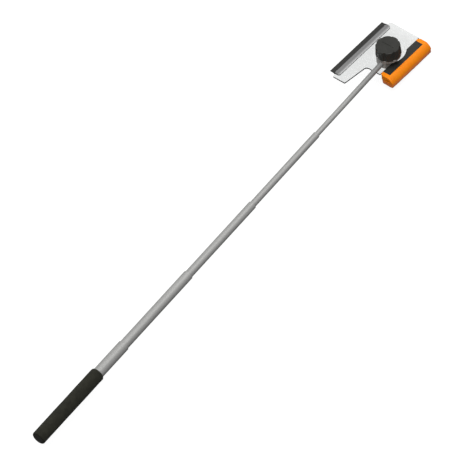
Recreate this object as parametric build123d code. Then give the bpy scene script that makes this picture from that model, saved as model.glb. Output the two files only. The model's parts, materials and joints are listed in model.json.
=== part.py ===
from build123d import *

import os
from math import atan, degrees

# A telescopic window squeegee: a foam grip on a five-section friction pole, and a clear head plate with a
# rubber blade on one long edge and a wash pad on the other, held by a clamp knob.
#
# Millimetres. The origin is the centre of the grip's butt face. +Y runs along the pole to the head, +X
# points to the wash pad's side and +Z to the knob's side. The head has a frame of its own, HEAD: its origin
# is where the knob's axis meets the plate's top face, with +Z along that axis and +Y along the blade, away
# from the grip.

# ---- pole ----
GRIP_LENGTH = 175.0
GRIP_RADIUS = 14.0
GRIP_ROUND = 2.0
TUBE_RADII = [11.0, 9.5, 8.0, 6.5, 5.0]
TUBE_WALL = 0.7
SHOWN = [75.5, 190.0, 189.0, 190.0, 214.5]  # from each mouth to the next; the last runs to the knob's axis
OVERLAP = 30.0  # length of each inner tube that stays inside its outer tube when pulled out
LIP_LENGTH = 1.4  # rolled-in mouth that guides the inner tube
MOUTH_ROUND = 0.6
MOUTH_CLEARANCE = 0.08
COLLAR_WIDTH = 1.0  # two rolled collars keep each bush in place
COLLAR_HEIGHT = 0.55
BUSH_LENGTH = 21.0
BUSH_CLEARANCE = 0.05
BUSH_END_CLEARANCE = 0.1
BUSH_SPLIT = 1.2
PLUG_HEAD = 3.0
PLUG_STEM = 19.0
PLUG_CLEARANCE = 0.05
PLUG_WALL = 2.0
PLUG_ROUND = 0.8

# ---- hub, clamp bolt and knob ----
POLE_TILT = 7.2  # degrees between the pole and the plate
AXIS_HEIGHT = 11.0  # pole axis above the plate's top, at the knob's axis
HUB_RADIUS = 23.5
HUB_TOP_RADIUS = 23.2
HUB_TOP = 19.5  # above the plate's top
HUB_SHELF = 15.0  # underside of the hub's full round
HUB_FLAT = 9.8  # below the shelf the hub is cut flat this far from the pole, on the pad's side
HUB_ROUND = 1.0
HUB_BORE_RADIUS = 6.0
SOCKET_WALL = 3.2  # hub left between its bore and the end of the pole's socket
SOCKET_CLEARANCE = 0.05
PIN_RADIUS = 1.25
PIN_OFFSET = 15.5  # from the knob's axis
PIN_FLOOR = 2.0
FRICTION_WASHER = 0.8
HUB_BUSH_RECESS = 0.1
WASHER_RADIUS = 12.0
THRUST_WASHER = 1.5
BOLT_RADIUS = 4.0
BOLT_CLEARANCE = 0.05
BOLT_BEYOND_HUB = 14.5
BOLT_CHAMFER = 0.7
BOLT_HEAD_RADIUS = 8.0
BOLT_HEAD_HEIGHT = 4.2
BOLT_HEAD_ROUND = 3.0
BACKING_WASHER = 1.2
BACKING_RADIUS = 8.7
NECK_CLEARANCE = 0.1
KNOB_RADIUS = 24.2
KNOB_TOP_RADIUS = 23.0
KNOB_TOP = 40.5
KNOB_GAP = 0.4  # between the hub's top and the knob's skirt
KNOB_LOBES = 8
KNOB_WALL = 3.6
KNOB_ROUND = 1.6
FLUTE_RADIUS = 4.5
FLUTE_DEPTH = 1.7
BOSS_RADIUS = 10.0
NUT_RADIUS = 6.5
NUT_LENGTH = 12.0
NUT_TOP_ROOM = 1.0  # round the bolt above its nut
CREASE_LENGTH = 27.0
CREASE_WIDTH = 1.4
CREASE_DEPTH = 0.7

# ---- plate ----
PLATE_THICKNESS = 3.0
PLATE_LENGTH = 168.0
PLATE_WIDTH = 67.3
AXIS_FROM_EDGE = 58.2  # knob's axis from the blade edge
AXIS_FROM_TIP = 92.4  # knob's axis from the finger's tip
NOTCH_DEPTH = 54.6
TIP_WIDTH = 28.0
ROOT_WIDTH = 35.0
CORNER_ROUND = 4.0
TIP_ROUND = 1.8
ROOT_ROUND = 7.0

# ---- blade ----
BLADE_LENGTH = 151.0
CHANNEL_FLANGE = 8.4
CHANNEL_NOSE = 4.4
CHANNEL_WALL = 1.2
CHANNEL_TIP_WALL = 0.5
CHANNEL_WEB = 1.0
CHANNEL_LIP = 1.2
CHANNEL_ROUND = 4.0
RUBBER_REACH = 13.4  # from the plate's edge to the rubber's edge
RUBBER_THICKNESS = 2.2
RUBBER_EDGE = 1.2
RUBBER_CLEARANCE = 0.05
STOP_PIN_RADIUS = 0.7
STOP_PIN_INSET = 5.0

# ---- wash pad ----
BAR_TOP_WIDTH = 18.0
BAR_WIDTH = 28.5
BAR_BULGE = 2.0
HOLDER_DEPTH = 12.0
HOLDER_ROUND = 6.0  # inner corners of its ends, seen from above
GROOVE_TOP = 4.6
GROOVE_BOTTOM = 9.1
GROOVE_DEPTH = 3.0
LOWER_INSET = 2.2
CHAMBER_WIDTH = 10.0
CHAMBER_HEIGHT = 4.5
CHAMBER_INSET = 13.4
CHAMBER_TOP = 6.2
INSERT_WIDTH = 16.5
INSERT_RIM = 8.6
INSERT_THICKNESS = 1.5
INSERT_CLEARANCE = 0.1
INSERT_ROUND = 1.0
POCKET_SIDE = 6.0  # a small square pocket near the insert's far end
POCKET_DEPTH = 0.5
POCKET_INSET = 6.0  # pocket's middle from the insert's end
RECESS_CHORD = 41.0
RECESS_DEPTH = 7.2
TAB_REACH = 11.0
TAB_WIDTH = 18.0
TAB_INSET = 11.5  # tab's middle from the insert's end
SCREW_RADIUS = 1.5
SCREW_HEAD_RADIUS = 2.8
SCREW_LENGTH = 7.0
SCREW_CLEARANCE = 0.2
BACKING_THICKNESS = 1.0
BACKING_INSET = 3.0
PAD_BOTTOM = 22.5
PAD_SPREAD = 1.2  # the pad stands this far outside its holder
PAD_END_GAP = 0.5
PAD_ROUND = 5.0

# ---- places that follow from the sizes above ----
MOUTHS = [GRIP_LENGTH + sum(SHOWN[: section + 1]) for section in range(4)]
KNOB_Y = MOUTHS[3] + SHOWN[4]
TAILS = [PLUG_HEAD] + [mouth - OVERLAP for mouth in MOUTHS]
HEAD = Pos(0, KNOB_Y, 0) * Rot(-POLE_TILT, 0, 0) * Pos(0, 0, -AXIS_HEIGHT)
BORES = [radius - TUBE_WALL for radius in TUBE_RADII]
TUBE_5_END = KNOB_Y - HUB_BORE_RADIUS - SOCKET_WALL
BUSH_START = COLLAR_WIDTH + BUSH_END_CLEARANCE
BUSH_END = BUSH_START + BUSH_LENGTH

PLATE_LEFT = -AXIS_FROM_EDGE
PLATE_RIGHT = PLATE_LEFT + PLATE_WIDTH
PLATE_LOW = -AXIS_FROM_TIP
PLATE_HIGH = PLATE_LOW + PLATE_LENGTH
NOTCH_Y = PLATE_LOW + NOTCH_DEPTH
PLATE_MIDDLE_Z = -PLATE_THICKNESS / 2
BLADE_MIDDLE_Y = (PLATE_LOW + PLATE_HIGH) / 2
BAR_MIDDLE_Y = (NOTCH_Y + PLATE_HIGH) / 2
BAR_LENGTH = PLATE_HIGH - NOTCH_Y
INSERT_LENGTH = BAR_LENGTH - 2 * INSERT_RIM
TAB_PLACES = [BAR_MIDDLE_Y + side * (INSERT_LENGTH / 2 - TAB_INSET) for side in (-1, 1)]
RECESS_RADIUS = (RECESS_CHORD**2 / 4 + RECESS_DEPTH**2) / (2 * RECESS_DEPTH)
RECESS_X = PLATE_RIGHT + RECESS_DEPTH - RECESS_RADIUS
KNOB_BOTTOM = HUB_TOP + KNOB_GAP
BOLT_END = HUB_TOP + BOLT_BEYOND_HUB
BOSS_BOTTOM = HUB_TOP + THRUST_WASHER

SAME = 0.01  # edges this near a place are taken to be at it
ON_BASE = (Align.CENTER, Align.CENTER, Align.MIN)
LEFT_BASE = (Align.MIN, Align.CENTER, Align.MIN)


def disc(radius, bottom, top, bore=0.0):
    """A round disc or ring about the local z axis."""
    solid = Pos(0, 0, bottom) * Cylinder(radius, top - bottom, align=ON_BASE)
    if bore > 0:
        solid -= Pos(0, 0, bottom) * Cylinder(bore, top - bottom, align=ON_BASE)
    return solid


def ring(radius, start, end, bore=0.0):
    """A round bar or tube about the pole's axis, from y = start to y = end."""
    return Rot(-90, 0, 0) * disc(radius, start, end, bore)


def circles(solid, axis, place, radius):
    """The circular edges of one radius at one place along an axis."""
    found = solid.edges().filter_by(GeomType.CIRCLE)
    found = found.filter_by_position(axis, place - SAME, place + SAME)
    return found.filter_by(lambda edge: abs(edge.radius - radius) < SAME)


def section_profile(points):
    """A face in the head's x-z plane from its corner points."""
    return make_face(Plane.XZ * Polyline(*points, close=True))


def run_along_y(face, middle, length):
    """The solid that a face in the x-z plane sweeps along y."""
    solid = extrude(face, length / 2, dir=(0, 1, 0), both=True)
    return Pos(0, middle, 0) * solid


# ---- pole pieces, in the pole's frame ----


def foam_grip():
    grip = ring(GRIP_RADIUS, 0, GRIP_LENGTH, TUBE_RADII[0])
    ends = circles(grip, Axis.Y, 0, GRIP_RADIUS) + circles(grip, Axis.Y, GRIP_LENGTH, GRIP_RADIUS)
    return fillet(ends, GRIP_ROUND)


def end_plug():
    head_radius = TUBE_RADII[0] - PLUG_CLEARANCE
    plug = ring(head_radius, 0, PLUG_HEAD) + ring(BORES[0], PLUG_HEAD, PLUG_HEAD + PLUG_STEM)
    plug -= ring(BORES[0] - PLUG_WALL, PLUG_HEAD, PLUG_HEAD + PLUG_STEM)
    return fillet(circles(plug, Axis.Y, 0, head_radius), PLUG_ROUND)


def collars(section):
    """The two rolled collars that hold the bush on an inner tube's tail."""
    radius = TUBE_RADII[section]
    tail = TAILS[section]
    far = tail + BUSH_END + BUSH_END_CLEARANCE
    low = ring(radius + COLLAR_HEIGHT, tail, tail + COLLAR_WIDTH, BORES[section])
    high = ring(radius + COLLAR_HEIGHT, far, far + COLLAR_WIDTH, BORES[section])
    return low + high


def mouthed_tube(section):
    """One of the four tubes that end in a rolled-in mouth."""
    radius = TUBE_RADII[section]
    mouth = MOUTHS[section]
    guide = TUBE_RADII[section + 1] + MOUTH_CLEARANCE
    tube = ring(radius, TAILS[section], mouth - LIP_LENGTH, BORES[section])
    tube += ring(radius, mouth - LIP_LENGTH, mouth, guide)
    tube = fillet(circles(tube, Axis.Y, mouth, radius), MOUTH_ROUND)
    if section > 0:
        tube += collars(section)
    return tube


def pin_cutter(clearance=0.0):
    """The cross pin's space through hub and tube, in the head's frame."""
    pin = disc(PIN_RADIUS + clearance, PIN_FLOOR, HUB_TOP - HUB_ROUND)
    return Pos(0, -PIN_OFFSET, 0) * pin


def head_tube():
    tube = ring(TUBE_RADII[4], TAILS[4], TUBE_5_END, BORES[4]) + collars(4)
    return tube - HEAD * pin_cutter()


def friction_bush(section):
    tail = TAILS[section]
    outer = BORES[section - 1] - BUSH_CLEARANCE
    inner = TUBE_RADII[section] + BUSH_CLEARANCE
    bush = ring(outer, tail + BUSH_START, tail + BUSH_END, inner)
    split = Box(BUSH_SPLIT, BUSH_LENGTH, outer, align=ON_BASE)
    return bush - Pos(0, tail + (BUSH_START + BUSH_END) / 2, 0) * split


# ---- hub, clamp and knob, in the head's frame ----


def pole_hub():
    """A full round under the knob, on a body that is cut flat where it passes the pad holder."""
    height = HUB_TOP - FRICTION_WASHER
    hub = Pos(0, 0, FRICTION_WASHER) * Cone(HUB_RADIUS, HUB_TOP_RADIUS, height, align=ON_BASE)
    hub = fillet(circles(hub, Axis.Z, HUB_TOP, HUB_TOP_RADIUS), HUB_ROUND)
    hub -= Pos(HUB_FLAT, 0, 0) * Box(HUB_RADIUS, 2 * HUB_RADIUS, HUB_SHELF, align=LEFT_BASE)
    hub -= disc(HUB_BORE_RADIUS, FRICTION_WASHER, HUB_TOP)
    hub -= pin_cutter()
    socket = ring(TUBE_RADII[4] + SOCKET_CLEARANCE, KNOB_Y - 2 * HUB_RADIUS, TUBE_5_END)
    return HEAD * hub - socket


def hub_bush():
    """A little shorter than the hub, so the washers bear on the hub alone."""
    bottom = FRICTION_WASHER + HUB_BUSH_RECESS
    return HEAD * disc(HUB_BORE_RADIUS, bottom, HUB_TOP - HUB_BUSH_RECESS, BOLT_RADIUS + BOLT_CLEARANCE)


def hub_pin():
    return HEAD * pin_cutter()


def friction_washer():
    return HEAD * disc(WASHER_RADIUS, 0, FRICTION_WASHER, BOLT_RADIUS + BOLT_CLEARANCE)


def thrust_washer():
    return HEAD * disc(WASHER_RADIUS, HUB_TOP, BOSS_BOTTOM, BOLT_RADIUS + BOLT_CLEARANCE)


def square_neck(clearance, bottom, top):
    side = 2 * BOLT_RADIUS + 2 * clearance
    return Pos(0, 0, bottom) * Box(side, side, top - bottom, align=ON_BASE)


def clamp_bolt():
    under = -PLATE_THICKNESS - BACKING_WASHER
    head = disc(BOLT_HEAD_RADIUS, under - BOLT_HEAD_HEIGHT, under)
    head = fillet(circles(head, Axis.Z, under - BOLT_HEAD_HEIGHT, BOLT_HEAD_RADIUS), BOLT_HEAD_ROUND)
    shank = disc(BOLT_RADIUS, 0, BOLT_END)
    shank = chamfer(circles(shank, Axis.Z, BOLT_END, BOLT_RADIUS), BOLT_CHAMFER)
    return HEAD * (head + square_neck(0, under, 0) + shank)


def backing_washer():
    washer = disc(BACKING_RADIUS, -PLATE_THICKNESS - BACKING_WASHER, -PLATE_THICKNESS)
    return HEAD * (washer - square_neck(NECK_CLEARANCE, -PLATE_THICKNESS - BACKING_WASHER, 0))


def knob_body():
    height = KNOB_TOP - KNOB_BOTTOM
    knob = Pos(0, 0, KNOB_BOTTOM) * Cone(KNOB_RADIUS, KNOB_TOP_RADIUS, height, align=ON_BASE)
    knob = fillet(circles(knob, Axis.Z, KNOB_TOP, KNOB_TOP_RADIUS), KNOB_ROUND)
    flute = Cylinder(FLUTE_RADIUS, 3 * height)
    lean = degrees(atan((KNOB_RADIUS - KNOB_TOP_RADIUS) / height))
    place = (KNOB_RADIUS + KNOB_TOP_RADIUS) / 2 + FLUTE_RADIUS - FLUTE_DEPTH
    middle = (KNOB_TOP + KNOB_BOTTOM) / 2
    for lobe in range(KNOB_LOBES):
        turn = Rot(0, 0, (lobe + 0.5) * 360 / KNOB_LOBES)
        knob -= turn * Pos(place, 0, middle) * Rot(0, -lean, 0) * flute
    cavity = disc(KNOB_TOP_RADIUS - KNOB_WALL, KNOB_BOTTOM, KNOB_TOP - KNOB_WALL, BOSS_RADIUS)
    knob -= cavity
    knob -= disc(KNOB_TOP_RADIUS - KNOB_WALL, KNOB_BOTTOM, BOSS_BOTTOM)
    knob -= disc(NUT_RADIUS, BOSS_BOTTOM, BOSS_BOTTOM + NUT_LENGTH)
    knob -= disc(BOLT_RADIUS + NUT_TOP_ROOM, BOSS_BOTTOM, KNOB_TOP - KNOB_WALL)
    crease = Box(CREASE_LENGTH, CREASE_WIDTH, 2 * CREASE_DEPTH)
    return HEAD * (knob - Pos(0, 0, KNOB_TOP) * crease)


def knob_nut():
    return HEAD * disc(NUT_RADIUS, BOSS_BOTTOM, BOSS_BOTTOM + NUT_LENGTH, BOLT_RADIUS + BOLT_CLEARANCE)


# ---- plate and blade, in the head's frame ----


def plate_outline():
    """The plate's L-shaped outline: a long finger under the blade and a notch beside the pole."""
    corners = {
        "tip_left": (PLATE_LEFT, PLATE_LOW),
        "tip_right": (PLATE_LEFT + TIP_WIDTH, PLATE_LOW),
        "root": (PLATE_LEFT + ROOT_WIDTH, NOTCH_Y),
        "bar_low": (PLATE_RIGHT, NOTCH_Y),
        "bar_high": (PLATE_RIGHT, PLATE_HIGH),
        "top_left": (PLATE_LEFT, PLATE_HIGH),
    }
    face = make_face(Polyline(*corners.values(), close=True))
    for name, radius in (("root", ROOT_ROUND), ("tip_left", TIP_ROUND), ("tip_right", TIP_ROUND),
                         ("top_left", CORNER_ROUND)):
        corner = face.vertices().sort_by_distance((*corners[name], 0))[0]
        face = fillet(corner, radius)
    return face + Pos(RECESS_X, BAR_MIDDLE_Y) * Circle(RECESS_RADIUS - INSERT_CLEARANCE)


def tab(thickness, grow=0.0):
    """One half-lap tab that joins the plate to the pad holder, grown by a clearance for its pocket."""
    block = Box(TAB_REACH + grow, TAB_WIDTH + 2 * grow, thickness, align=LEFT_BASE)
    return Pos(PLATE_RIGHT, 0, -PLATE_THICKNESS) * block


def screw_place(y):
    return Pos(PLATE_RIGHT + TAB_REACH / 2, y, -INSERT_THICKNESS)


def clear_plate():
    plate = extrude(plate_outline(), -PLATE_THICKNESS)
    for y in TAB_PLACES:
        plate += Pos(0, y, 0) * tab(PLATE_THICKNESS - INSERT_THICKNESS)
    for y in TAB_PLACES:
        plate -= screw_place(y) * screw(SCREW_CLEARANCE)
    return HEAD * (plate - square_neck(NECK_CLEARANCE, -PLATE_THICKNESS, 0))


def channel_half():
    """The upper half of the channel's section, as heights above the plate's middle plane."""
    edge = PLATE_LEFT
    nose = edge - CHANNEL_NOSE
    top = PLATE_THICKNESS / 2 + CHANNEL_WALL
    slit = RUBBER_THICKNESS / 2 + RUBBER_CLEARANCE
    return [
        (nose, slit),
        (nose, top - CHANNEL_WALL / 2),
        (nose + CHANNEL_WALL / 2, top),
        (edge + CHANNEL_WALL, top),
        (edge + CHANNEL_FLANGE, PLATE_THICKNESS / 2 + CHANNEL_TIP_WALL),
        (edge + CHANNEL_FLANGE, PLATE_THICKNESS / 2),
        (edge, PLATE_THICKNESS / 2),
        (edge, 0),
        (edge - CHANNEL_WEB, 0),
        (edge - CHANNEL_WEB, PLATE_THICKNESS / 2),
        (nose + CHANNEL_LIP, PLATE_THICKNESS / 2),
        (nose + CHANNEL_LIP, slit),
    ]


def blade_channel():
    upper = section_profile([(x, PLATE_MIDDLE_Z + z) for x, z in channel_half()])
    lower = section_profile([(x, PLATE_MIDDLE_Z - z) for x, z in channel_half()])
    channel = run_along_y(upper, BLADE_MIDDLE_Y, BLADE_LENGTH)
    channel += run_along_y(lower, BLADE_MIDDLE_Y, BLADE_LENGTH)
    flange_end = PLATE_LEFT + CHANNEL_FLANGE
    corners = channel.edges().filter_by(Axis.Z)
    corners = corners.filter_by_position(Axis.X, flange_end - SAME, flange_end + SAME)
    channel = fillet(corners, CHANNEL_ROUND)
    return HEAD * (channel - stop_pins())


def stop_pins():
    """Two pins that keep the rubber from sliding out of its channel."""
    reach = PLATE_THICKNESS / 2 + CHANNEL_WALL
    pin = disc(STOP_PIN_RADIUS, PLATE_MIDDLE_Z - reach, PLATE_MIDDLE_Z + reach)
    x = PLATE_LEFT - (CHANNEL_WEB + CHANNEL_NOSE - CHANNEL_LIP) / 2
    pins = [Pos(x, BLADE_MIDDLE_Y + side * (BLADE_LENGTH / 2 - STOP_PIN_INSET), 0) * pin for side in (-1, 1)]
    return pins[0] + pins[1]


def blade_stop_pins():
    return HEAD * stop_pins()


def squeegee_rubber():
    root_start = PLATE_LEFT - CHANNEL_WEB - RUBBER_CLEARANCE
    root_end = PLATE_LEFT - CHANNEL_NOSE + CHANNEL_LIP + RUBBER_CLEARANCE
    root = PLATE_THICKNESS / 2 - RUBBER_CLEARANCE
    neck = RUBBER_THICKNESS / 2
    tip = PLATE_LEFT - RUBBER_REACH
    upper = [(root_start, root), (root_end, root), (root_end, neck), (tip, RUBBER_EDGE / 2)]
    lower = [(x, -z) for x, z in reversed(upper)]
    face = section_profile([(x, PLATE_MIDDLE_Z + z) for x, z in upper + lower])
    return HEAD * (run_along_y(face, BLADE_MIDDLE_Y, BLADE_LENGTH) - stop_pins())


# ---- wash pad, in the head's frame ----


def screw(clearance=0.0):
    """A countersunk screw hanging from z = 0."""
    head_height = SCREW_HEAD_RADIUS - SCREW_RADIUS
    head = Cone(SCREW_RADIUS + clearance, SCREW_HEAD_RADIUS + clearance, head_height)
    shank = disc(SCREW_RADIUS + clearance, -SCREW_LENGTH, -head_height)
    return Pos(0, 0, -head_height / 2) * head + shank


def pad_screws():
    screws = [screw_place(y) * screw() for y in TAB_PLACES]
    return HEAD * (screws[0] + screws[1])


def recess():
    """The round cutter that makes the holder and its insert follow the plate's rounded lobe."""
    return Pos(RECESS_X, BAR_MIDDLE_Y, 0) * disc(RECESS_RADIUS, -GROOVE_BOTTOM, 1)


def insert_block(gap):
    """The insert's block, less a gap all round."""
    width = INSERT_WIDTH - gap
    block = Box(width, INSERT_LENGTH - 2 * gap, INSERT_THICKNESS, align=LEFT_BASE)
    return Pos(PLATE_RIGHT, BAR_MIDDLE_Y, -INSERT_THICKNESS) * block


def pad_insert():
    insert = insert_block(INSERT_CLEARANCE)
    far = PLATE_RIGHT + INSERT_WIDTH - INSERT_CLEARANCE
    corners = insert.edges().filter_by(Axis.Z).filter_by_position(Axis.X, far - SAME, far + SAME)
    pocket = Box(POCKET_SIDE, POCKET_SIDE, 2 * POCKET_DEPTH)
    y = BAR_MIDDLE_Y + INSERT_LENGTH / 2 - POCKET_INSET
    pocket = Pos(PLATE_RIGHT + INSERT_WIDTH / 2, y, 0) * pocket
    return HEAD * (fillet(corners, INSERT_ROUND) - recess() - pocket)


def holder_face():
    """The holder's section: a flat top, a rounded outer side and a grooved inner side."""
    inner = PLATE_RIGHT
    flat_end = (inner + BAR_TOP_WIDTH, 0)
    foot = (inner + BAR_WIDTH, -HOLDER_DEPTH)
    chord = Vector(*foot) - Vector(*flat_end)
    middle = (Vector(*flat_end) + Vector(*foot)) / 2
    bulge = middle + Vector(-chord.Y, chord.X).normalized() * BAR_BULGE
    lower_inner = inner + LOWER_INSET
    straight = Polyline(foot, (lower_inner, -HOLDER_DEPTH), (lower_inner, -GROOVE_BOTTOM),
                        (inner + GROOVE_DEPTH, -GROOVE_BOTTOM), (inner + GROOVE_DEPTH, -GROOVE_TOP),
                        (inner, -GROOVE_TOP), (inner, 0), flat_end)
    return make_face(Plane.XZ * (straight + ThreePointArc(flat_end, bulge, foot)))


def round_ended(inner, width, length, depth):
    """A block along the bar whose two inner corners are rounded, seen from above."""
    plan = Pos(inner, BAR_MIDDLE_Y) * Rectangle(width, length, align=(Align.MIN, Align.CENTER))
    return extrude(fillet(plan.vertices().sort_by(Axis.X)[:2], HOLDER_ROUND), -depth)


def pad_holder():
    holder = run_along_y(holder_face(), BAR_MIDDLE_Y, BAR_LENGTH)
    holder &= round_ended(PLATE_RIGHT, BAR_WIDTH, BAR_LENGTH, HOLDER_DEPTH)
    chamber = RectangleRounded(CHAMBER_WIDTH, CHAMBER_HEIGHT, CHAMBER_HEIGHT / 3)
    x = PLATE_RIGHT + CHAMBER_INSET + CHAMBER_WIDTH / 2
    chamber = Plane.XZ * Pos(x, -CHAMBER_TOP - CHAMBER_HEIGHT / 2) * chamber
    holder -= run_along_y(chamber, BAR_MIDDLE_Y, BAR_LENGTH)
    holder -= insert_block(0)
    for y in TAB_PLACES:
        holder -= Pos(0, y, 0) * tab(PLATE_THICKNESS, INSERT_CLEARANCE)
        holder -= screw_place(y) * screw()
    return HEAD * (holder - recess())


def backing_block():
    width = BAR_WIDTH - LOWER_INSET - 2 * BACKING_INSET
    block = Box(width, BAR_LENGTH - 4 * BACKING_INSET, BACKING_THICKNESS, align=LEFT_BASE)
    place = Pos(PLATE_RIGHT + LOWER_INSET + BACKING_INSET, BAR_MIDDLE_Y, -HOLDER_DEPTH - BACKING_THICKNESS)
    return place * block


def pad_backing():
    return HEAD * backing_block()


def wash_pad():
    inner = PLATE_RIGHT + LOWER_INSET
    outer = PLATE_RIGHT + BAR_WIDTH
    face = section_profile([(inner, -HOLDER_DEPTH), (outer, -HOLDER_DEPTH), (outer + PAD_SPREAD, -PAD_BOTTOM),
                            (inner - PAD_SPREAD, -PAD_BOTTOM)])
    pad = run_along_y(face, BAR_MIDDLE_Y, BAR_LENGTH - 2 * PAD_END_GAP)
    lower = pad.edges().filter_by(Axis.Y).filter_by_position(Axis.Z, -PAD_BOTTOM - SAME, -PAD_BOTTOM + SAME)
    pad = fillet(lower, PAD_ROUND)
    width = outer - inner + 2 * PAD_SPREAD
    pad &= round_ended(inner - PAD_SPREAD, width, BAR_LENGTH - 2 * PAD_END_GAP, PAD_BOTTOM)
    return HEAD * (pad - backing_block())


NODES = {
    "foam_grip": foam_grip,
    "end_plug": end_plug,
    "tube_5": head_tube,
    "pole_hub": pole_hub,
    "hub_bush": hub_bush,
    "hub_pin": hub_pin,
    "friction_washer": friction_washer,
    "clear_plate": clear_plate,
    "blade_channel": blade_channel,
    "blade_stop_pins": blade_stop_pins,
    "squeegee_rubber": squeegee_rubber,
    "pad_holder": pad_holder,
    "pad_insert": pad_insert,
    "pad_screws": pad_screws,
    "pad_backing": pad_backing,
    "wash_pad": wash_pad,
    "clamp_bolt": clamp_bolt,
    "backing_washer": backing_washer,
    "thrust_washer": thrust_washer,
    "knob_body": knob_body,
    "knob_nut": knob_nut,
}


def build():
    """Every sub-part by name."""
    parts = {name: make() for name, make in NODES.items()}
    for section in range(4):
        parts[f"tube_{section + 1}"] = mouthed_tube(section)
        parts[f"friction_bush_{section + 2}"] = friction_bush(section + 1)
    return parts


if __name__ == "__main__":
    os.makedirs("parts", exist_ok=True)
    for name, part in build().items():
        export_step(part, f"parts/{name}.step")
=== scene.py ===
import json
from math import cos, pi, sin

import bmesh
import bpy
from mathutils import Matrix, Vector, noise


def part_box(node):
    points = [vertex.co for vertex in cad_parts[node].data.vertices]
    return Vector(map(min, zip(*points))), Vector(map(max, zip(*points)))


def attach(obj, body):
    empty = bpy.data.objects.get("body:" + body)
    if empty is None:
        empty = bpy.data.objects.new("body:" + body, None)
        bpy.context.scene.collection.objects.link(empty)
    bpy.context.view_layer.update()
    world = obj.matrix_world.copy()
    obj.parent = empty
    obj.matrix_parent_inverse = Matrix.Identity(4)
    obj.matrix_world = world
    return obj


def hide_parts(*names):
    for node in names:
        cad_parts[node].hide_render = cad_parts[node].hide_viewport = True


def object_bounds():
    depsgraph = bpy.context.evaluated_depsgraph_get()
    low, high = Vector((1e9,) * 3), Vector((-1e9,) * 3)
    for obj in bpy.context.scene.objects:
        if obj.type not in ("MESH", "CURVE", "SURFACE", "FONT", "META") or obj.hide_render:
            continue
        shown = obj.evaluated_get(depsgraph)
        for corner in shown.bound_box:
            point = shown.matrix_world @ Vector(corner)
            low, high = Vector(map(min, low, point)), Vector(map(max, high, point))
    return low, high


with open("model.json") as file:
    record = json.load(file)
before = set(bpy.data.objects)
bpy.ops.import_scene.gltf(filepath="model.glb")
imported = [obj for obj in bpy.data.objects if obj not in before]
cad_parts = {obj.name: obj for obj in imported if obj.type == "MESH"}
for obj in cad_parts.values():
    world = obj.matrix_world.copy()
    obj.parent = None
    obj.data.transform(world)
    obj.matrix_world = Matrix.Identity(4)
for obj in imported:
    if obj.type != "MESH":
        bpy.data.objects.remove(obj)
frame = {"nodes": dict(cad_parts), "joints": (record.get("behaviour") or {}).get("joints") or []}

NODES = frame["nodes"]
CAD_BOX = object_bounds()
SCENE = bpy.context.scene
JOINTS = {joint["name"]: joint for joint in frame["joints"]}

# Camera: its directions in the head's frame, the width of the view at the object, a long lens, and how far
# right of the view's middle and above it the knob's axis leaves the plate.
CAMERA_RIGHT = Vector((0.7723, 0.6320, -0.0643))
CAMERA_BACK = Vector((0.4664, -0.4955, 0.7328))
VIEW_WIDTH = 0.854
HEAD_RIGHT = 0.2876
HEAD_ABOVE = 0.3169
LENS = 1600.0
SENSOR = 36.0

# Metres, and counts of rows and points, for the floor, the grip's sleeve and the sponge.
FLOOR_SIZE = 6.0
FLOOR_GAP = 0.0005
GRIP_LIP = 0.003
GRIP_BORE_DEPTH = 0.004
GRIP_BORE_EDGE = 0.0006
GRIP_ROWS = 170
GRIP_AROUND = 96
GRIP_SHRINK = 0.0002
GRIP_WAVE = 0.00022
GRIP_GRAIN = 0.00012
PAD_VOXEL = 0.0012
PAD_CROWN = 0.00042
PAD_FINE = 0.00025
PAD_COARSE = 0.0003
# painted shade on tube_5 near the head end, where the knob shades it
PAINTED_SHADE_FROM = 0.12  # tube_5 starts to darken this far from its head end
PAINTED_SHADE_TO = 0.02
PAINTED_SHADE_LEVEL = 0.66


def head_matrix():
    """The head's own frame: z along the knob's axis, x across the plate, y away from the grip."""
    turn = JOINTS["knob_turn"]
    up = Vector(turn["axis"]).normalized()
    across = Vector((1, 0, 0))
    along = up.cross(across)
    matrix = Matrix((across, along, up)).transposed().to_4x4()
    matrix.translation = Vector(turn["pos_m"])
    return matrix


HEAD = head_matrix()


def head_box(node):
    """Lowest and highest corner of a CAD node in the head's frame."""
    to_head = HEAD.inverted()
    points = [to_head @ vertex.co for vertex in NODES[node].data.vertices]
    low = Vector([min(point[axis] for point in points) for axis in range(3)])
    high = Vector([max(point[axis] for point in points) for axis in range(3)])
    return low, high


# ---- camera, floor and light ----


def make_camera():
    turn = HEAD.to_3x3()
    back = (turn @ CAMERA_BACK).normalized()
    up = back.cross(turn @ CAMERA_RIGHT).normalized()
    right = up.cross(back)
    on_plate = HEAD @ Vector((0, 0, head_box("clear_plate")[1].z))
    centre = on_plate - right * HEAD_RIGHT - up * HEAD_ABOVE
    data = bpy.data.cameras.new("camera")
    data.lens = LENS
    data.sensor_width = SENSOR
    distance = VIEW_WIDTH / 2 / (SENSOR / 2 / LENS)
    data.clip_start = distance / 10
    data.clip_end = distance * 3
    camera = bpy.data.objects.new("camera", data)
    matrix = Matrix((right, up, back)).transposed().to_4x4()
    matrix.translation = centre + back * distance
    camera.matrix_world = matrix
    SCENE.collection.objects.link(camera)
    SCENE.camera = camera


def make_floor():
    mesh = bpy.data.meshes.new("floor")
    size, height = FLOOR_SIZE, CAD_BOX[0].z - FLOOR_GAP
    corners = [(x, y, height) for x, y in ((-size, -size), (size, -size), (size, size), (-size, size))]
    mesh.from_pydata(corners, [], [(0, 1, 2, 3)])
    floor = bpy.data.objects.new("floor", mesh)
    SCENE.collection.objects.link(floor)
    material = bpy.data.materials.new("pale_floor")
    material.use_nodes = True
    shader = material.node_tree.nodes["Principled BSDF"]
    shader.inputs["Base Color"].default_value = (0.15, 0.15, 0.15, 1)
    shader.inputs["Roughness"].default_value = 0.9
    shader.inputs["Emission Color"].default_value = (1, 1, 1, 1)
    shader.inputs["Emission Strength"].default_value = 0.9
    mesh.materials.append(material)
    floor.visible_diffuse = False
    floor.visible_glossy = False


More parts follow.
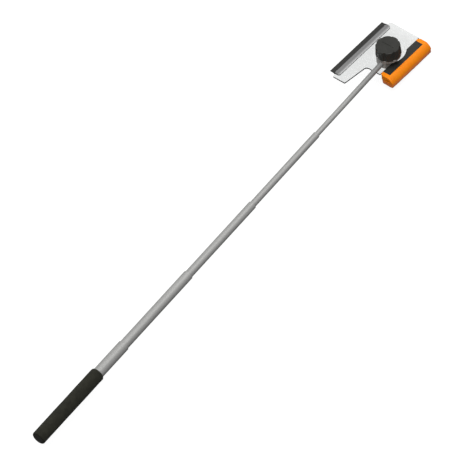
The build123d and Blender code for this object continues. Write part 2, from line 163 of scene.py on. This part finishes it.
def area_light(name, place, target, size, power):
    data = bpy.data.lights.new(name, "AREA")
    data.shape = "SQUARE"
    data.size = size
    data.energy = power
    light = bpy.data.objects.new(name, data)
    light.location = place
    light.rotation_euler = (Vector(target) - Vector(place)).to_track_quat("-Z", "Y").to_euler()
    SCENE.collection.objects.link(light)


def fill_ramp(ramp, stops):
    """Set a colour ramp's stops from pairs of place and colour."""
    while len(ramp.elements) < len(stops):
        ramp.elements.new(0.5)
    for element, (place, color) in zip(ramp.elements, stops):
        element.position = place
        element.color = (*color, 1)


def gray(level):
    return (level, level, level)


def make_world():
    """A studio that is bright overhead and dim at the sides and below."""
    world = bpy.data.worlds.new("studio")
    world.use_nodes = True
    nodes, links = world.node_tree.nodes, world.node_tree.links
    split = nodes.new("ShaderNodeSeparateXYZ")
    links.new(nodes.new("ShaderNodeTexCoord").outputs["Generated"], split.inputs["Vector"])
    height = nodes.new("ShaderNodeMapRange")
    height.inputs["From Min"].default_value = -1
    links.new(split.outputs["Z"], height.inputs["Value"])
    ramp = nodes.new("ShaderNodeValToRGB")
    levels = [(0.0, 0.14), (0.48, 0.13), (0.62, 0.40), (1.0, 1.0)]
    fill_ramp(ramp.color_ramp, [(place, gray(level)) for place, level in levels])
    links.new(height.outputs["Result"], ramp.inputs["Fac"])
    links.new(ramp.outputs["Color"], nodes["Background"].inputs["Color"])
    nodes["Background"].inputs["Strength"].default_value = 0.85
    SCENE.world = world


def make_light():
    middle = (0, 0.55, 0)
    area_light("key", (0.5, 0.9, 2.4), middle, 1.6, 36)
    area_light("left", (-2.0, 0.3, 1.4), middle, 1.2, 8)
    SCENE.view_settings.view_transform = "Standard"
    SCENE.view_settings.look = "None"


# ---- materials ----


class Finish:
    """A principled material and short calls that wire its texture nodes."""

    def __init__(self, name, color, roughness, metallic=0.0, **inputs):
        self.material = bpy.data.materials.new(name)
        self.material.use_nodes = True
        self.nodes = self.material.node_tree.nodes
        self.links = self.material.node_tree.links
        self.shader = self.nodes["Principled BSDF"]
        self.shader.inputs["Base Color"].default_value = (*color, 1)
        self.shader.inputs["Roughness"].default_value = roughness
        self.shader.inputs["Metallic"].default_value = metallic
        for label, value in inputs.items():
            self.shader.inputs[label.replace("_", " ")].default_value = value
        self.place = self.nodes.new("ShaderNodeTexCoord").outputs["Object"]
        self.normal = None

    def scaled(self, scale):
        """The piece's own coordinates, stretched."""
        mapping = self.nodes.new("ShaderNodeMapping")
        mapping.inputs["Scale"].default_value = scale
        self.links.new(self.place, mapping.inputs["Vector"])
        return mapping.outputs["Vector"]

    def noise(self, scale, detail=4.0, stretch=(1, 1, 1)):
        texture = self.nodes.new("ShaderNodeTexNoise")
        texture.inputs["Scale"].default_value = scale
        texture.inputs["Detail"].default_value = detail
        self.links.new(self.scaled(stretch), texture.inputs["Vector"])
        return texture.outputs["Fac"]

    def cells(self, scale):
        texture = self.nodes.new("ShaderNodeTexVoronoi")
        texture.inputs["Scale"].default_value = scale
        self.links.new(self.place, texture.inputs["Vector"])
        return texture.outputs["Distance"]

    def ramp(self, value, stops):
        """Colours at places from 0 to 1 along a value."""
        node = self.nodes.new("ShaderNodeValToRGB")
        fill_ramp(node.color_ramp, stops)
        self.links.new(value, node.inputs["Fac"])
        return node.outputs["Color"]

    def range(self, value, low, high, start=0.3, end=0.7):
        """A value from start to end turned into one from low to high."""
        node = self.nodes.new("ShaderNodeMapRange")
        for label, number in (("From Min", start), ("From Max", end), ("To Min", low), ("To Max", high)):
            node.inputs[label].default_value = number
        self.links.new(value, node.inputs["Value"])
        return node.outputs["Result"]

    def darkened(self, output, amount):
        """A colour multiplied by a gray amount from 0 to 1."""
        node = self.nodes.new("ShaderNodeMix")
        node.data_type = "RGBA"
        node.blend_type = "MULTIPLY"
        node.inputs["Factor"].default_value = 1
        self.links.new(output, node.inputs["A"])
        self.links.new(amount, node.inputs["B"])
        return node.outputs["Result"]

    def color(self, output):
        self.links.new(output, self.shader.inputs["Base Color"])

    def roughness(self, output):
        self.links.new(output, self.shader.inputs["Roughness"])

    def bump(self, height, distance, strength=1.0):
        """Relief on top of whatever normal the finish has so far."""
        node = self.nodes.new("ShaderNodeBump")
        node.inputs["Distance"].default_value = distance
        node.inputs["Strength"].default_value = strength
        self.links.new(height, node.inputs["Height"])
        if self.normal is not None:
            self.links.new(self.normal, node.inputs["Normal"])
        self.normal = node.outputs["Normal"]
        self.links.new(self.normal, self.shader.inputs["Normal"])

    def soft_edges(self, radius):
        node = self.nodes.new("ShaderNodeBevel")
        node.inputs["Radius"].default_value = radius
        self.normal = node.outputs["Normal"]
        self.links.new(self.normal, self.shader.inputs["Normal"])


def shade(color, factor):
    return tuple(channel * factor for channel in color)


def foam_finish():
    color = (0.0185, 0.0185, 0.0125)
    finish = Finish("grip_foam", color, 0.9, Sheen_Weight=0.04, Sheen_Roughness=0.6, Specular_IOR_Level=0.2)
    mottle = finish.noise(90, 6)
    finish.color(finish.ramp(mottle, [(0.3, shade(color, 0.75)), (0.7, shade(color, 1.3))]))
    finish.bump(finish.cells(1400), 0.0002, 0.6)
    finish.bump(finish.noise(500, 5), 0.0002, 0.4)
    return finish.material


def tube_finish(name, painted_shade_span=None):
    """Satin aluminium. Given a span, it gets painted shade that darkens it from the span's first to its
    second place along the pole.
    """
    color = (0.362, 0.362, 0.353)
    finish = Finish(name, color, 0.60, 0.35)
    rings = finish.noise(1, 5, (40, 2600, 40))
    scuffs = finish.noise(1, 4, (900, 9, 900))
    scuffs_and_painted_shade = finish.ramp(scuffs, [(0.35, shade(color, 0.93)), (0.65, shade(color, 1.05))])
    # painted shade: tube_5 darkens towards its head end, where the knob shades it
    if painted_shade_span:
        split = finish.nodes.new("ShaderNodeSeparateXYZ")
        finish.links.new(finish.place, split.inputs["Vector"])
        scuffs_and_painted_shade = finish.darkened(scuffs_and_painted_shade, finish.range(split.outputs["Y"], 1.0, PAINTED_SHADE_LEVEL, *painted_shade_span))
    finish.color(scuffs_and_painted_shade)
    finish.roughness(finish.range(rings, 0.50, 0.68))
    finish.bump(rings, 0.00002, 0.5)
    return finish.material


def plastic_finish(name, color, roughness, grain=1500, depth=0.00004):
    finish = Finish(name, color, roughness, Specular_IOR_Level=0.35)
    finish.soft_edges(0.0004)
    mottle = finish.noise(45, 4)
    finish.color(finish.ramp(mottle, [(0.3, shade(color, 0.85)), (0.7, shade(color, 1.15))]))
    texture = finish.noise(grain, 3)
    finish.roughness(finish.range(texture, roughness - 0.06, roughness + 0.08))
    finish.bump(texture, depth, 0.7)
    return finish.material


def clear_finish():
    finish = Finish("clear_sheet", (0.81, 0.82, 0.815), 0.02, Transmission_Weight=1.0, IOR=1.5)
    haze = finish.noise(60, 5)
    finish.roughness(finish.range(haze, 0.0, 0.06))
    finish.bump(finish.noise(12, 2), 0.0001, 0.2)
    return finish.material


def smoke_finish():
    """Smoke-gray strip: dark over the rubber, then paler toward the plate, with painted light at its edge
    by the plate.
    """
    low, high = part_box("blade_channel")
    finish = Finish("smoke_channel", (0.3, 0.3, 0.3), 0.3)
    finish.soft_edges(0.001)
    split = finish.nodes.new("ShaderNodeSeparateXYZ")
    finish.links.new(finish.place, split.inputs["Vector"])
    across = finish.range(split.outputs["X"], 0, 1, low.x, high.x)
    # the last stop is painted light: it brightens the strip's edge by the plate, whose side wall falls in
    # shade
    levels = [(0.0, 0.022), (0.15, 0.026), (0.20, 0.19), (0.40, 0.20), (0.56, 0.18), (0.65, 0.20),
              (0.73, 0.256), (0.80, 0.31), (0.89, 0.40), (0.98, 0.50), (1.0, 0.95)]
    finish.color(finish.ramp(across, [(place, gray(level)) for place, level in levels]))
    lines = finish.noise(1, 3, (2200, 6, 2200))
    finish.bump(lines, 0.00003, 0.5)
    return finish.material


def rubber_finish():
    color = (0.026, 0.026, 0.024)
    finish = Finish("blade_rubber", color, 0.55, Specular_IOR_Level=0.4)
    bloom = finish.noise(120, 5)
    finish.color(finish.ramp(bloom, [(0.35, shade(color, 0.85)), (0.75, shade(color, 1.25))]))
    finish.bump(finish.noise(1, 3, (1800, 12, 1800)), 0.00004, 0.6)
    return finish.material


def orange_finish():
    color = (0.97, 0.265, 0.004)
    finish = Finish("orange_moulding", color, 0.42, Subsurface_Weight=0.12, Specular_IOR_Level=0.25)
    finish.shader.inputs["Subsurface Radius"].default_value = (0.004, 0.0015, 0.0005)
    finish.soft_edges(0.0005)
    mottle = finish.noise(50, 4)
    finish.color(finish.ramp(mottle, [(0.3, shade(color, 0.94)), (0.7, shade(color, 1.04))]))
    finish.bump(finish.noise(1200, 3), 0.00003, 0.5)
    return finish.material


def sponge_finish():
    color = (0.86, 0.20, 0.012)
    finish = Finish("orange_sponge", color, 0.85, Subsurface_Weight=0.1, Sheen_Weight=0.2)
    finish.shader.inputs["Subsurface Radius"].default_value = (0.004, 0.0015, 0.0005)
    pores = finish.cells(900)
    # painted shade: the colour darkens in the pits of the pores
    finish.color(finish.ramp(pores, [(0.05, shade(color, 0.6)), (0.4, color)]))
    finish.bump(pores, 0.0004, 0.8)
    return finish.material


def metal_finish(name, color, roughness):
    finish = Finish(name, color, roughness, 1.0)
    spangle = finish.cells(350)
    finish.color(finish.ramp(spangle, [(0.1, shade(color, 0.88)), (0.6, shade(color, 1.05))]))
    finish.roughness(finish.range(finish.noise(700, 4), roughness - 0.08, roughness + 0.1))
    finish.bump(finish.noise(1500, 3), 0.00003, 0.4)
    return finish.material


def dress(names, material):
    for name in names:
        mesh = NODES[name].data
        mesh.materials.clear()
        mesh.materials.append(material)


def dress_nodes():
    tubes = [f"tube_{number}" for number in range(1, 5)]
    head_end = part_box("tube_5")[1].y
    bushes = [f"friction_bush_{number}" for number in range(2, 6)]
    black = plastic_finish("black_moulding", (0.027, 0.027, 0.024), 0.45)
    dress(tubes, tube_finish("satin_tube"))
    # tube_5 gets painted shade near the head
    dress(["tube_5"], tube_finish("satin_tube_painted_shade", (head_end - PAINTED_SHADE_FROM, head_end - PAINTED_SHADE_TO)))
    dress(bushes + ["hub_bush", "knob_nut"], metal_finish("bronze", (0.55, 0.36, 0.16), 0.35))
    dress(["knob_body", "pad_insert", "end_plug", "friction_washer", "pad_backing"], black)
    dress(["pole_hub"], plastic_finish("grey_moulding", (0.26, 0.25, 0.235), 0.45))
    dress(["clear_plate"], clear_finish())
    dress(["blade_channel"], smoke_finish())
    dress(["squeegee_rubber"], rubber_finish())
    dress(["pad_holder"], orange_finish())
    zinc = metal_finish("zinc_plate", (0.60, 0.60, 0.58), 0.30)
    dress(["hub_pin", "clamp_bolt", "backing_washer", "thrust_washer"], zinc)
    dress(["pad_screws", "blade_stop_pins"], zinc)


# ---- soft pieces ----


def link_piece(name, mesh, body, node, material):
    """A Blender piece that stands for a soft CAD node and rides on its body."""
    mesh.materials.clear()
    mesh.materials.append(material)
    for polygon in mesh.polygons:
        polygon.use_smooth = True
    piece = bpy.data.objects.new(name, mesh)
    SCENE.collection.objects.link(piece)
    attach(piece, body)
    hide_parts(node)
    return piece


def grip_profile(length, outer, inner):
    """Radius and place along the pole, from the bore's start over the outside to the bore's end."""
    lip, edge = GRIP_LIP, GRIP_BORE_EDGE
    corner = [(outer - lip + lip * sin(t), lip - lip * cos(t)) for t in [pi / 2 * k / 8 for k in range(9)]]
    start = [(inner, GRIP_BORE_DEPTH), (inner, edge), (inner + edge, 0)] + corner
    middle = [(outer, lip + (length - 2 * lip) * k / GRIP_ROWS) for k in range(1, GRIP_ROWS)]
    end = [(radius, length - y) for radius, y in reversed(start)]
    return start + middle + end


def make_grip():
    """A moulded foam sleeve with a faintly uneven skin and rolled ends."""
    low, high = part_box("foam_grip")
    length, outer, inner = high.y - low.y, high.x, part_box("tube_1")[1].x
    around = GRIP_AROUND
    shape = bmesh.new()
    rings = []
    for radius, y in grip_profile(length, outer, inner):
        ring = []
        for step in range(around):
            angle = 2 * pi * step / around
            spot = Vector((cos(angle) * 0.6, y * 22, sin(angle) * 0.6))
            loose = (radius - inner) / (outer - inner)
            dent = GRIP_WAVE * noise.noise(spot * 2.2) + GRIP_GRAIN * noise.noise(spot * 9)
            reach = radius - GRIP_SHRINK * loose + loose * dent
            ring.append(shape.verts.new((reach * cos(angle), low.y + y, reach * sin(angle))))
        rings.append(ring)
    for first, second in zip(rings, rings[1:]):
        for step in range(around):
            after = (step + 1) % around
            shape.faces.new((first[step], first[after], second[after], second[step]))
    for step in range(around):
        after = (step + 1) % around
        shape.faces.new((rings[-1][step], rings[-1][after], rings[0][after], rings[0][step]))
    bmesh.ops.recalc_face_normals(shape, faces=shape.faces)
    mesh = bpy.data.meshes.new("grip_sleeve")
    shape.to_mesh(mesh)
    shape.free()
    link_piece("grip_sleeve", mesh, "handle", "foam_grip", foam_finish())


def remeshed(node, voxel):
    """A fine even mesh of a CAD node's shape."""
    source = bpy.data.objects.new("remesh_source", NODES[node].data.copy())
    SCENE.collection.objects.link(source)
    remesh = source.modifiers.new("remesh", "REMESH")
    remesh.mode = "VOXEL"
    remesh.voxel_size = voxel
    relax = source.modifiers.new("relax", "SMOOTH")
    relax.iterations = 4
    graph = bpy.context.evaluated_depsgraph_get()
    mesh = bpy.data.meshes.new_from_object(source.evaluated_get(graph))
    bpy.data.objects.remove(source)
    return mesh


def make_wash_pad():
    """A sponge pad that bulges between its ends and pulls in where its holder grips it."""
    mesh = remeshed("wash_pad", PAD_VOXEL)
    low, high = head_box("wash_pad")
    middle, half = (low + high) / 2, (high - low) / 2
    to_head = HEAD.inverted()
    normals = [vertex.normal.copy() for vertex in mesh.vertices]
    for vertex, normal in zip(mesh.vertices, normals):
        place = to_head @ vertex.co
        along = (place.y - middle.y) / half.y
        depth = (high.z - place.z) / (high.z - low.z)
        crown = PAD_CROWN * max(0.0, 1 - along * along) * sin(pi * min(1.0, max(0.0, depth)))
        grain = PAD_FINE * noise.noise(place * 420) + PAD_COARSE * noise.noise(place * 90)
        vertex.co += normal * (crown + grain * min(1.0, 4 * max(0.0, depth - 0.06)))
    link_piece("sponge_pad", mesh, "head", "wash_pad", sponge_finish())


make_camera()
make_floor()
make_world()
make_light()
dress_nodes()
make_grip()
make_wash_pad()
